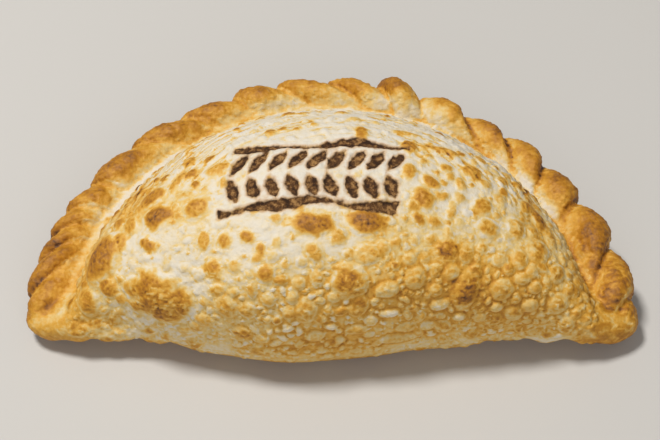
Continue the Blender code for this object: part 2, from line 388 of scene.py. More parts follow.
def settle(points):
    """Curls up the two ends of the fold, waves its lower edge and flattens the base."""
    x, y, z = points.T
    reach = np.abs(x)
    curl = ease(*CURL_FROM, reach) * (1 - ease(*CURL_TO, reach))
    front = 1 - ease(TIP_LINE_Y, CURL_BACK_Y, y)
    low = np.clip(1 - z / CURL_TOP, 0, 1)
    wave = EDGE_WAVE * np.sin(reach / EDGE_WAVE_SIZE * EDGE_WAVES + EDGE_WAVE_PHASE)
    wave = wave * ease(*WAVE_FROM, reach)
    settled = points.copy()
    settled[:, 2] += (CURL_LIFT * curl + wave * curl) * front * low
    settled[:, 2] = np.maximum(settled[:, 2], 0)
    return settled


# Blisters. The large ones are placed one by one: how far along from the middle and how far round the dome
# they sit, their length and width, the turn of their length on the skin, and their browning.
# A plain number of millimetres or degrees each.
LARGE_BLISTERS = (
    # under the mark
    (-4, 126, 10.3, 4.8, 0, 0.74), (7.6, 125, 8.4, 6.0, 0, 0.74), (-12, 124, 2.9, 2.1, 0, 0.50),
    (-16.5, 121.5, 2.5, 2.0, 0, 0.42), (3.8, 146, 7.6, 7.4, 0, 0.71), (8, 136.5, 6.0, 4.4, 10, 0.50),
    (11, 134.5, 3.4, 3.0, 0, 0.46), (-3, 145, 3.0, 3.8, 0, 0.58), (-14, 143, 4.4, 4.0, 0, 0.60),
    (-15.7, 138, 2.8, 2.2, 0, 0.56), (-23, 132, 3.0, 4.2, 0, 0.58), (-27.3, 132.5, 3.0, 4.8, 0, 0.56),
    (-25.2, 142.5, 4.2, 4.2, 0, 0.62), (-11.6, 132.5, 2.4, 2.8, 0, 0.44),
    (-20.7, 140.5, 2.6, 3.0, 0, 0.50), (-6.3, 139, 2.5, 2.4, 0, 0.40), (-7, 146.5, 2.9, 2.9, 0, 0.50),
    (17, 138.5, 3.1, 3.0, 0, 0.54), (17.8, 132, 2.2, 2.2, 0, 0.46), (-22.5, 156, 5.2, 5.0, 20, 0.54),
    (-18, 156.5, 4.0, 3.8, 0, 0.56), (-27.6, 163.5, 4.6, 3.2, 0, 0.50), (-13.5, 152, 3.0, 3.2, 0, 0.52),
    (-9, 157, 3.2, 3.6, 0, 0.54), (-5.6, 156.5, 4.6, 6.0, 0, 0.54), (2.3, 157, 3.4, 2.2, 28, 0.72),
    (0.6, 151.5, 2.8, 2.5, 0, 0.44), (8.5, 162, 3.0, 3.2, 0, 0.40), (16.5, 167.5, 4.4, 3.4, 0, 0.50),
    (14.5, 174, 8.0, 3.2, 0, 0.46), (12, 149, 6.0, 4.0, 10, 0.30), (18, 145.5, 4.8, 4.4, 35, 0.46),
    (12.5, 159, 5.0, 2.8, 0, 0.16),
    # to the right
    (20, 115.5, 5.0, 5.6, 10, 0.64), (17.5, 119, 2.6, 2.6, 0, 0.56), (17, 103.5, 3.6, 4.6, 0, 0.56),
    (25, 89, 9.0, 2.6, -8, 0.54), (16.5, 79, 7.0, 2.0, 0, 0.48), (31, 99, 5.2, 3.6, 0, 0.60),
    (26, 104, 2.8, 2.6, 0, 0.50), (34, 105, 3.2, 2.8, 0, 0.44), (28, 114, 3.0, 2.8, 0, 0.46),
    (33, 117.5, 4.8, 4.4, 10, 0.62), (37.2, 113, 3.2, 3.6, 0, 0.42), (26, 121, 2.2, 4.6, -25, 0.44),
    (27.8, 125, 2.6, 2.6, 0, 0.34), (33.8, 127, 5.4, 4.4, 0, 0.54), (40.5, 127, 4.6, 5.0, 0, 0.54),
    (43.5, 114, 5.2, 4.2, 30, 0.58), (46, 121, 4.0, 6.0, 20, 0.74), (42, 97, 3.8, 3.6, -30, 0.58),
    (48.5, 132, 3.4, 5.4, 15, 0.54), (25, 136, 5.6, 5.6, 0, 0.76), (29, 137.5, 3.4, 4.0, 0, 0.50),
    (26, 144, 3.4, 3.4, 0, 0.48), (22.5, 150.5, 3.0, 3.0, 0, 0.52), (29, 152, 5.2, 9.4, -14, 0.74),
    (45.4, 138, 5.8, 5.4, 0, 0.64), (41, 141, 4.0, 4.2, 0, 0.54), (38.5, 144, 2.9, 3.0, 0, 0.56),
    (37, 152, 4.8, 4.8, 0, 0.58), (36.5, 140.5, 4.0, 3.0, 0, 0.44), (49.5, 149, 5.4, 3.8, 25, 0.58),
    (44.5, 153, 3.2, 2.8, 0, 0.48), (50, 162, 4.6, 4.6, 0, 0.56), (43.5, 161, 4.0, 3.4, 0, 0.40),
    (23.5, 157, 5.0, 3.4, 8, 0.22), (28, 164, 3.4, 3.0, 0, 0.20), (32.5, 165, 2.8, 2.8, 0, 0.42),
    (36, 160, 3.4, 2.8, 0, 0.30), (21, 168, 3.4, 3.0, 0, 0.36), (41.5, 148.5, 3.8, 2.6, 0, 0.52),
    # to the left
    (-38, 155, 11, 10.5, 0, 0.73), (-43, 153.5, 5.4, 5.6, 0, 0.58), (-33, 157, 6.6, 7.4, 0, 0.74),
    (-36, 163, 7.2, 6.0, 0, 0.73), (-41.5, 160.5, 6.2, 5.2, 0, 0.64), (-38, 121.5, 7.2, 5.6, 0, 0.74),
    (-39.5, 110.5, 7.6, 5.0, 10, 0.64), (-44.3, 125, 3.8, 4.8, 20, 0.54),
    (-29.2, 118.5, 6.6, 4.8, 25, 0.60),
    (-34, 103.5, 6.4, 2.8, 55, 0.54), (-25, 100.5, 7.2, 3.0, 15, 0.50), (-32, 112.5, 5.2, 2.2, 5, 0.42),
    (-40.5, 103, 3.2, 2.2, 20, 0.46), (-46.5, 115, 5.2, 2.6, 50, 0.52), (-42.5, 116.5, 3.2, 3.0, 0, 0.50),
    (-23.5, 108, 2.2, 4.0, 0, 0.46), (-46.5, 134, 3.6, 5.0, 20, 0.54), (-31.5, 143, 2.7, 2.2, 0, 0.34),
    (-32.5, 171, 3.8, 2.8, 0, 0.46), (-54, 164, 5.2, 6.0, 0, 0.58), (-50.5, 143, 7.0, 12.4, -30, 0.72),
)
# Soft stains in the browning, with no relief of their own: along, turn, radius in mm and strength,
# less than 0 where one is paler than the skin round it.
STAINS = (
    (-52.5, 143, 4.4, 0.46), (14, 147, 8, 0.24), (28, 143, 9, 0.16), (30, 152, 7, 0.20),
    (45, 124, 8, 0.16), (-6, 156, 8, 0.12), (-38, 157, 9, -0.12), (-44, 118, 6, 0.12),
    (-34, 118, 7, 0.10), (38, 156, 8, 0.12), (-22, 155, 6, 0.14), (47, 160, 8, 0.16),
    (-55, 174, 8, 0.14), (12, 122, 7, 0.14), (-50, 122, 6, 0.14), (-34, 98, 12, 0.05),
    (-42, 106, 9, 0.07), (-69, 178, 2.4, 0.35), (-30, 150, 9, -0.05), (-16, 140, 9, -0.04),
)

# Seeded scatters of further blisters: how many, the least and greatest radius in mm, how far apart
# they keep in radii, the middle and spread of their browning, and where they stand thickly.
SCATTERS = (
    (230, 1.0, 2.2, 1.00, 0.62, 0.12, "golden"),
    (380, 0.60, 1.20, 1.06, 0.48, 0.14, "golden"),
    (170, 0.90, 1.60, 0.98, 0.28, 0.18, "low front"),
    (1300, 0.36, 0.95, 1.04, 0.24, 0.14, "low front"),
    (620, 0.55, 1.30, 1.08, 0.12, 0.12, "crown"),
)
SCATTER_SEED = 11
TRIES_EACH = 14
DOME_RADIUS = 59 * MM
LOWEST_FACING = -0.45
LARGE_SPACING = 2.2
SMALL_ONES_SHARE = 1.2
STRETCH = (0.75, 1.3)
BROWNEST_SCATTERED = 0.72
JOINED_SHARE = 0.45
JOINED_LIFT = 0.3
JOINED_ASIDE = 0.95
JOINED_SIZE = (0.5, 0.75)
JOINED_BROWNING = 0.95

# Where small blisters crowd together and where golden ones stand thickly. Pairs are where something
# starts and where it is full, in metres along the dome or, for turns, in degrees round it.
CROWD_TURNS = (132, 150)
CROWD_END_TURNS = (174, 184)
CROWD_LEFT = (-30 * MM, -8 * MM)
CROWD_RIGHT = (42 * MM, 54 * MM)
CROWD_RIGHT_LOSS = 0.8
LEAST_CROWD = 0.25
GOLDEN_RIGHT = (14 * MM, 24 * MM)
GOLDEN_RIGHT_TURNS = (78, 92)
GOLDEN_RIGHT_END_TURNS = (166, 176)
GOLDEN_RIGHT_END_LOSS = 0.6
GOLDEN_FROM_LEFT = (-31 * MM, -25 * MM)
GOLDEN_MIDDLE_TURNS = (124, 132)
GOLDEN_MIDDLE_END_TURNS = (162, 172)
GOLDEN_MIDDLE_END_LOSS = 0.7
GOLDEN_LEFT_TURNS = (92, 100)
GOLDEN_LEFT_END_TURNS = (122, 128)
GOLDEN_LOW_LEFT_TURNS = (152, 160)
RIGHT_THICKNESS = 0.8
MIDDLE_THICKNESS = 0.20
LEFT_THICKNESS = 0.8
LOW_LEFT_THICKNESS = 0.5
LEAST_THICKNESS = 0.04
MARK_MARGIN = 2 * MM
CROWN_TURN = 130
FRONT_BESIDE_CROWN = 0.25

# How a blister stands. Its size is its mean radius, and a place's gap from its middle is counted in
# radii. Browner ones are golden, with broad shoulders, and the brownest large ones are crackled.
PALE_BROWNING = 0.34
GOLDEN_SHOULDER = 1.18
CRACKLED_BROWNING = 0.725
CRACKLED_SIZE = 1.9 * MM
CRACKLED_RISE = 0.75
BLISTER_REACH = 1.9
RAGGED_SIZE = 1.6 * MM
SHOULDER_RAGGEDNESS = (0.16, 0.06)
BROWNING_RAGGEDNESS = (0.32, 0.22)
PALE_STEEPNESS = 0.20
GOLDEN_STEEPNESS = 0.21
LEAST_RISE = 0.16 * MM
CROWDED_RISE = 0.20
CROWDED_SIZE = 1.4 * MM
LARGE_RISE = 0.40
LARGE_SIZE = 3.2 * MM
GOLDEN_ROUNDNESS = 1.2
SHOULDER_RIDGE = (0.80, 0.25)
SHOULDER_RISE = 0.12
MOAT = (1.2, 0.16)
MOAT_DEPTH = 0.10
CORE_FROM = 0.05
CORE_RAGGEDNESS = 0.52
CORE_TO = 1.24
CORE_SHARPNESS = 0.8
INSIDE = (0.45, 1.0)
WRINKLED_SIZES = (0.8 * MM, 2 * MM)
OUTLINE = (1.03, 0.13)
GOLDEN_OUTLINE = 0.4
PALE_RING = (1.12, 0.18)


def dome_place(tree, along, turn):
    """The point and normal of the skin at a place along and round the dome."""
    angle = math.radians(turn)
    out = Vector((0, math.cos(angle), math.sin(angle)))
    spine = Vector((along * MM, SPINE_Y, SPINE_Z))
    place, normal, _, _ = tree.ray_cast(spine + out * LENGTH, -out)
    return place, normal


def large_blisters(tree):
    """Each large blister as (place, normal, half length, half width, turn, browning)."""
    found = []
    for along, turn, length, width, tilt, browning in LARGE_BLISTERS:
        place, normal = dome_place(tree, along, turn)
        found.append((place, normal, length / 2 * MM, width / 2 * MM, math.radians(tilt), browning))
    return found


def stained(tree, points):
    """The soft stains' browning at each point."""
    tone = np.zeros(len(points))
    for along, turn, radius, strength in STAINS:
        place, _ = dome_place(tree, along, turn)
        away = np.linalg.norm(points - np.array(place), axis=1)
        tone += strength * np.exp(-((away / (radius * MM)) ** 2))
    return tone


def front_turn(points):
    """How far round the spine each point lies, in degrees."""
    turn = np.degrees(np.arctan2(points[:, 2] - SPINE_Z, points[:, 1] - SPINE_Y))
    return np.where(turn < -90, turn + 360, turn)


def crowding(points):
    """Where small blisters crowd together: the lower front, and more so to the right."""
    x = points[:, 0]
    turn = front_turn(points)
    low_front = ease(*CROWD_TURNS, turn) * (1 - ease(*CROWD_END_TURNS, turn))
    side = ease(*CROWD_LEFT, x) * (1 - CROWD_RIGHT_LOSS * ease(*CROWD_RIGHT, x))
    return low_front * (LEAST_CROWD + (1 - LEAST_CROWD) * side)


def goldenness(points):
    """Where golden blisters stand thickly: all the right side, the middle front, the upper left."""
    x, y, _ = points.T
    turn = front_turn(points)
    right_end = 1 - GOLDEN_RIGHT_END_LOSS * ease(*GOLDEN_RIGHT_END_TURNS, turn)
    right = ease(*GOLDEN_RIGHT, x) * ease(*GOLDEN_RIGHT_TURNS, turn) * right_end
    from_left = ease(*GOLDEN_FROM_LEFT, x)
    middle_end = 1 - GOLDEN_MIDDLE_END_LOSS * ease(*GOLDEN_MIDDLE_END_TURNS, turn)
    middle = ease(*GOLDEN_MIDDLE_TURNS, turn) * middle_end * from_left
    left_end = 1 - ease(*GOLDEN_LEFT_END_TURNS, turn)
    left = ease(*GOLDEN_LEFT_TURNS, turn) * left_end * (1 - from_left)
    low_left = ease(*GOLDEN_LOW_LEFT_TURNS, turn) * (1 - from_left)
    thick = np.maximum.reduce([
        RIGHT_THICKNESS * right, MIDDLE_THICKNESS * middle,
        LEFT_THICKNESS * left, LOW_LEFT_THICKNESS * low_left,
    ])
    beside_mark = np.maximum(MARK_LEFT * MM - x, x - MARK_RIGHT * MM)
    before_mark = np.maximum(MARK_BAR_Y[1] * MM - y, y - MARK_BAR_Y[0] * MM)
    clear_of_mark = ease(0, MARK_MARGIN, np.maximum(beside_mark, before_mark))
    return np.maximum(thick, LEAST_THICKNESS) * clear_of_mark


def scattered_blisters(points, normals, thickness, found, scatter, draw):
    """A scatter of blisters that keep apart from each other and from the ones found so far. Some
    are joined by a smaller one at their side."""
    most, least_radius, greatest_radius, spacing, middle, spread, _ = scatter
    radius_from_middle = np.hypot(points[:, 0], points[:, 1] - TIP_LINE_Y)
    on_dome = (radius_from_middle < DOME_RADIUS) & (normals[:, 2] > LOWEST_FACING)
    places = np.array([place for place, *_ in found])
    radii = np.array([(length + width) / LARGE_SPACING for _, _, length, width, _, _ in found])
    added = []
    for pick in draw.choice(np.flatnonzero(on_dome), most * TRIES_EACH, replace=False):
        if len(added) >= most:
            break
        here = points[pick]
        if draw.random() > thickness[pick]:
            continue
        share = draw.random() ** SMALL_ONES_SHARE
        radius = (least_radius + (greatest_radius - least_radius) * share) * MM
        gaps = np.linalg.norm(places - here, axis=1)
        if (gaps < (radii + radius) * spacing).any():
            continue
        places = np.vstack([places, here])
        radii = np.append(radii, radius)
        stretch = draw.uniform(*STRETCH)
        turn = draw.uniform(0, math.pi)
        browning = np.clip(draw.normal(middle, spread), 0, BROWNEST_SCATTERED)
        normal = Vector(normals[pick])
        added.append((Vector(here), normal, radius * stretch, radius / stretch, turn, browning))
        if draw.random() < JOINED_SHARE:
            aside = Vector((math.cos(turn * 2), math.sin(turn * 2), JOINED_LIFT))
            beside = Vector(here) + normal.cross(aside).normalized() * radius * JOINED_ASIDE
            smaller = radius * draw.uniform(*JOINED_SIZE)
            browning = browning * JOINED_BROWNING
            added.append((beside, normal, smaller, smaller / stretch, turn, browning))
    return added


def ridge(gap, middle, width):
    """1 along a ring round a blister at the given gap from its middle, falling away on both sides."""
    return np.exp(-(((gap - middle) / width) ** 2))


def blister_relief(points, blisters, crowd, wobble, fine):
    """How far blisters raise the skin, how brown they are, how much of a blister is there, how far
    it is wrinkled and how far crackled inside, the pale ring round it and its outline."""
    height, browning, cover, wrinkled, crackled, pale_ring, outline = np.zeros((7, len(points)))
    tree = KDTree(len(points))
    for index, place in enumerate(points):
        tree.insert(place, index)
    tree.balance()
    for place, normal, half_length, half_width, turn, brown in blisters:
        reach = max(half_length, half_width) * BLISTER_REACH
        near = np.array([index for _, index, _ in tree.find_range(place, reach)], dtype=int)
        if not len(near):
            continue
        pale = brown < PALE_BROWNING
        along = Vector((1, 0, 0)) - normal * normal.x
        along.normalize()
        across = normal.cross(along)
        axis_a = np.array(along * math.cos(turn) + across * math.sin(turn))
        axis_b = np.array(across * math.cos(turn) - along * math.sin(turn))
        offset = points[near] - np.array(place)
        size = math.sqrt(half_length * half_width)
        ragged = min(size / RAGGED_SIZE, 1)
        gap = np.hypot(offset @ axis_a / half_length, offset @ axis_b / half_width)
        by_wobble, by_fine = SHOULDER_RAGGEDNESS
        shoulder = gap * (1 + ragged * (by_wobble * wobble[near] + by_fine * fine[near]))
        shoulder = shoulder / (1 if pale else GOLDEN_SHOULDER)
        by_wobble, by_fine = BROWNING_RAGGEDNESS
        gap *= 1 + ragged * (by_wobble * wobble[near] + by_fine * fine[near])
        rise = (PALE_STEEPNESS if pale else GOLDEN_STEEPNESS) * size + LEAST_RISE
        rise = rise + CROWDED_RISE * crowd[near] * min(size, CROWDED_SIZE)
        rise += LARGE_RISE * max(size - LARGE_SIZE, 0)
        puff = np.clip(1 - shoulder**2, 0, 1) ** (1 if pale else GOLDEN_ROUNDNESS)
        edge = ridge(shoulder, *SHOULDER_RIDGE)
        core = 1 - ease(CORE_FROM + CORE_RAGGEDNESS * ragged, CORE_TO, gap)
        inside = 1 - ease(*INSIDE, gap)
        wrinkled[near] = np.maximum(wrinkled[near], inside * ease(*WRINKLED_SIZES, size))
        if brown > CRACKLED_BROWNING and size > CRACKLED_SIZE:
            rise *= CRACKLED_RISE
            crackled[near] = np.maximum(crackled[near], inside)
        moat = ridge(shoulder, *MOAT)
        raised = rise * (puff + SHOULDER_RISE * ragged * edge - MOAT_DEPTH * moat)
        sunk = height[near] + np.minimum(raised, 0)
        height[near] = np.where(raised > height[near], raised, sunk)
        browning[near] = np.maximum(browning[near], brown * core**CORE_SHARPNESS)
        cover[near] = np.maximum(cover[near], puff)
        line = ridge(shoulder, *OUTLINE) * (1 if pale else GOLDEN_OUTLINE)
        outline[near] = np.maximum(outline[near] * (1 - puff), line)
        pale_ring[near] = np.maximum(pale_ring[near], ridge(gap, *PALE_RING))
    return height, browning, cover, wrinkled, crackled, pale_ring, outline


# The folds' browning: dark outside and pale inside, where each one sinks under the next. Angles are
# in radians round the edge from the right tip.
ON_CRIMP = (58 * MM, 61 * MM)
CRIMP_ENDS = (-0.02, 0.06)
CRIMP_RAGGEDNESS = 1.1 * MM
CRIMP_RAGGED_SIZE = 4 * MM
CRIMP_OUTER = (56.5 * MM, 63 * MM)
PALE_WIDTH = 3 * MM
PALE_WIDTH_ANGLES = (0.3, 1.5)
PALE_WIDTH_LOSS = 1.0 * MM
PALE_WIDTH_LOSS_ANGLES = (1.7, 2.3)
INNER_BROWNING = (0.24, 0.76)
SUNK_BROWNING_LOSS = 0.35
SUNK_ALONG = (0.50, 0.98)


def crimp_browning(points):
    """Browning of the folds, how much each point is on the crimp, its radius and its angle."""
    x, y, _ = points.T
    angle = np.arctan2(y - TIP_LINE_Y, x)
    radius = np.hypot(x, y - TIP_LINE_Y)
    across = np.clip((radius - CRIMP_RADIUS) / CRIMP_HALF_WIDTH, -1, 1)
    fold, along, _ = fold_places(angle, across)
    browning = np.array([browning for _, _, browning in FOLDS])[fold]
    on_crimp = ease(*ON_CRIMP, radius) * ease(*CRIMP_ENDS, np.sin(angle))
    ragged = radius + CRIMP_RAGGEDNESS * dough_noise(points, CRIMP_RAGGED_SIZE, 8)
    pale_width = PALE_WIDTH * ease(*PALE_WIDTH_ANGLES, angle)
    pale_width = pale_width - PALE_WIDTH_LOSS * ease(*PALE_WIDTH_LOSS_ANGLES, angle)
    outer = ease(*CRIMP_OUTER, ragged - pale_width)
    inner, more = INNER_BROWNING
    tone = browning * (inner + more * outer) * (1 - SUNK_BROWNING_LOSS * ease(*SUNK_ALONG, along))
    return tone * on_crimp, on_crimp, radius, angle


# The generic mark burnt into the crown: two wavy bars and, between them, two rows of leaf shapes
# as on an ear of grain. Lengths are plain millimetres on the plan.
MARK_LEFT = -23
MARK_RIGHT = 15.7
MARK_BAR_Y = (-4.6, -20.2)
MARK_ROW_Y = (-8.9, -15.9)
MARK_LEAN = 0.17
LEAF_LENGTH = 6.2
LEAF_WIDTH = 2.7
LEAF_LEAN_DEG = 62
LEAVES = 9
BAR_PHASES = (0.4, 2.0)
BAR_HALF_WIDTHS = (0.75, 0.95)
# The waves of the bars and of their width: how high and how long.
BAR_WAVE = (0.55, 5.2)
BAR_RIPPLE = (0.30, 2.3)
BAR_WIDTH_WAVE = (0.40, 3.7)
MARK_LOWEST = 24 * MM
FAR_OFF = 99.0


def leaf_gap(x, y, middle_x, middle_y, lean):
    """Distance in mm outside an almond-shaped leaf, less than 0 inside it."""
    dx = x - middle_x
    dy = y - middle_y
    along = dx * math.cos(lean) + dy * math.sin(lean)
    across = np.abs(dy * math.cos(lean) - dx * math.sin(lean))
    half = LEAF_LENGTH / 2
    bow = (half**2 + (LEAF_WIDTH / 2) ** 2) / LEAF_WIDTH
    return np.hypot(along, across + bow - LEAF_WIDTH / 2) - bow


def mark_gap(points):
    """Distance in mm from the burnt strokes, less than 0 inside them."""
    y = points[:, 1] / MM
    x = points[:, 0] / MM - MARK_LEAN * (y - sum(MARK_ROW_Y) / 2)
    gap = np.full(len(points), FAR_OFF)

    def sway(wave, phase):
        height, length = wave
        return height * np.sin(x / length + phase)

    for bar_y, phase, half_width in zip(MARK_BAR_Y, BAR_PHASES, BAR_HALF_WIDTHS):
        middle = bar_y + sway(BAR_WAVE, phase) + sway(BAR_RIPPLE, phase)
        thickness = half_width + sway(BAR_WIDTH_WAVE, phase * 2)
        ends = np.maximum(MARK_LEFT - x, x - MARK_RIGHT)
        gap = np.minimum(gap, np.maximum(np.abs(y - middle) - thickness, ends))
    step = (MARK_RIGHT - MARK_LEFT) / LEAVES
    for row_y, lean_deg in zip(MARK_ROW_Y, (LEAF_LEAN_DEG, -LEAF_LEAN_DEG)):
        for leaf in range(LEAVES):
            middle_x = MARK_LEFT + step * (leaf + 0.5)
            gap = np.minimum(gap, leaf_gap(x, y, middle_x, row_y, math.radians(lean_deg)))
    return np.where(points[:, 2] > MARK_LOWEST, gap, FAR_OFF)


# Noise over the skin: the size of its features, and how sharp its cracks and wrinkles are.
WOBBLE_SIZE = 2.4 * MM
FINE_SIZE = 0.9 * MM
BROAD_SIZE = 11 * MM
FLAKE_SIZE = 1.6 * MM
FLAKE_STRETCH = [0.35, 1, 1]
BEAD_SIZE = 1.1 * MM
WRINKLE_SIZE = 1.0 * MM
CRACK_SHARPNESS = 3.5
WRINKLE_SHARPNESS = 3.2
# Streaks across the edge: how many to a radian, their width and height, and their seed.
STREAKS = (26, 7 * MM, 9 * MM, 6)
FINE_STREAKS = (62, 3 * MM, 4 * MM, 12)
LAYERS = (3.2, 1.5 * MM, 5 * MM, 10)
FINE_STREAK_SHARE = 0.6

# Relief that stands above or lies below the dough's own skin. Weights of noise are in millimetres.
ON_BOARD = 0.05 * MM
MARK_RAGGEDNESS = (0.32, 0.24)
BURNT = (-0.6, 0.5)
BURNT_FLATTENING = 0.8
CHAR_SUNK = 0.45 * MM
CRACKLE_RISE = 0.26 * MM
CRACKLED_WRINKLE_LOSS = 0.7
WRINKLE_RISE = 0.20 * MM
USUAL_WRINKLE = 0.4
USUAL_BEAD = 0.6
SKIN_RELIEF = (0.07, 0.06)
CRACK_DEPTH = 0.06 * MM
COVERED_CRACK_LOSS = 0.7
FLAKY_FROM = (22 * MM, 44 * MM)
FLAKY_TO = (59 * MM, 62 * MM)
FLAKY_ANGLES = (0.15, 0.5)
FLAKY_TO_TURNS = (96, 118)
FLAKY_BACK_TURNS = (45, 75)
BACK_FLAKINESS = (0.45, 0.55)
LAYER_SHARPNESS = 7
LAYER_RELIEF = (0.32, -0.26)
CRIMP_RELIEF = (0.22, 0.06, 0.14, -0.10)
CREASE_PASSES = 6
CREASE_DEPTH = 0.16 * MM
VALLEY_PASSES = 40
VALLEY_DEPTH = 0.5 * MM
VALLEY_FROM = 0.25

# Browning, from 0 for raw cream to 1 for burnt, and what adds to it, with painted shade and painted light
# laid into it. Pairs are where something starts and where it is full: metres from the middle, degrees for
# turns, radians for angles.
BASE_TONE = 0.02
BROAD_TONE = 0.07
FRONT_TONE = 0.07
FRONT_TURNS = (100, 145)
GOLDEN_TONE = 0.05
LOW_FRONT_TURNS = (158, 178)
# The lowest band of the front is drawn darker, most of all in the middle: partly browning and partly
# painted shade.
LOW_FRONT_BROWNING_AND_SHADE = 0.05
MIDDLE_FRONT_BROWNING_AND_SHADE = 0.15
MIDDLE_FRONT_SIZE = 20 * MM
CROWD_TONE = 0.11
CROWD_COVER_LOSS = 0.10
LEFT_END = (49 * MM, 60 * MM)
LEFT_END_RAGGEDNESS = 2 * MM
LEFT_END_TONE = 0.50
RIGHT_END = (50 * MM, 61 * MM)
RIGHT_END_TONE = 0.70
BLISTER_TONE = (0.08, 0.07, 0.4)
CRACKLED_TONE = 0.10
# Wrinkles inside blister cores: painted highlight on their ridges, painted shade in their gaps.
WRINKLE_HIGHLIGHT_AND_SHADE = 0.15
RING_PALING = 0.07
RING_BROWNINGS = (0.15, 0.45)
# Each blister's foot gets a darker line, partly browning and partly painted shade, stronger where
# blisters crowd.
OUTLINE_SHADE_AND_BROWNING = 0.13
OUTLINE_CROWDING = (0.8, 0.4)
BACK_VALLEY_PALING = 0.14
BACK_VALLEY_ANGLES = (0.8, 1.3)
BACK_VALLEY_RADII = (48 * MM, 52 * MM)
CRIMP_KEEPS = 0.5
CRIMP_TONE = (0.17, 0.12, 0.09, 0.08)
PALEST_FOLD = 0.19
PALEST_FOLD_WOBBLE = 0.06
CRACK_TONE = 0.03
LAYER_TONE = 0.18
LAYER_TONE_FROM = 0.05
LAYER_EDGE_TONE = 0.40
LAYER_EDGE_BASE = 0.6
FLAKY_TONE = 0.30
FLAKY_WOBBLE = 0.5
FLAKY_TONE_FROM = 0.25
# The valley between the dome and the rim is drawn darker, partly as browning and partly as painted shade,
# most of all on the right.
VALLEY_SHADE_AND_BROWNING = 0.04
RIGHT_VALLEY_SHADE_AND_BROWNING = 0.20
RIGHT_VALLEY_ANGLES = (0.9, 1.7)
VALLEY_RADII = (46 * MM, 52 * MM)
END_CRACK_PALING = 0.36
END_CRACK_TONES = (0.4, 0.6)
# Painted shade: the skin is drawn darker close to the board.
NEAR_BOARD_PAINTED_SHADE = 0.16
NEAR_BOARD = (1 * MM, 8 * MM)
# Creases and hollows are drawn darker, partly as browning and partly as painted shade.
CREASE_SHADE_AND_BROWNING = 0.26
RIM_CREASE_LOSS = 0.14
RIM_CREASE_RADII = (50 * MM, 58 * MM)
UPPER_ANGLES = (0, 0.15)
# Painted light: the crests of the skin are drawn paler.
CREST_PAINTED_LIGHT = 0.05
UNDERSIDE_FACING = -0.35
UNDERSIDE_TONE = 0.50
UNDERSIDE_BROAD = 0.12


def streaked(angle, radius, z, each_radian, width, height, seed):
    """Noise drawn out in streaks across the edge."""
    return dough_noise(np.column_stack([angle * each_radian, radius / width, z / height]), 1, seed)


def weighed(weights, *fields):
    """The fields added up, each times its weight."""
    return sum(weight * field for weight, field in zip(weights, fields))


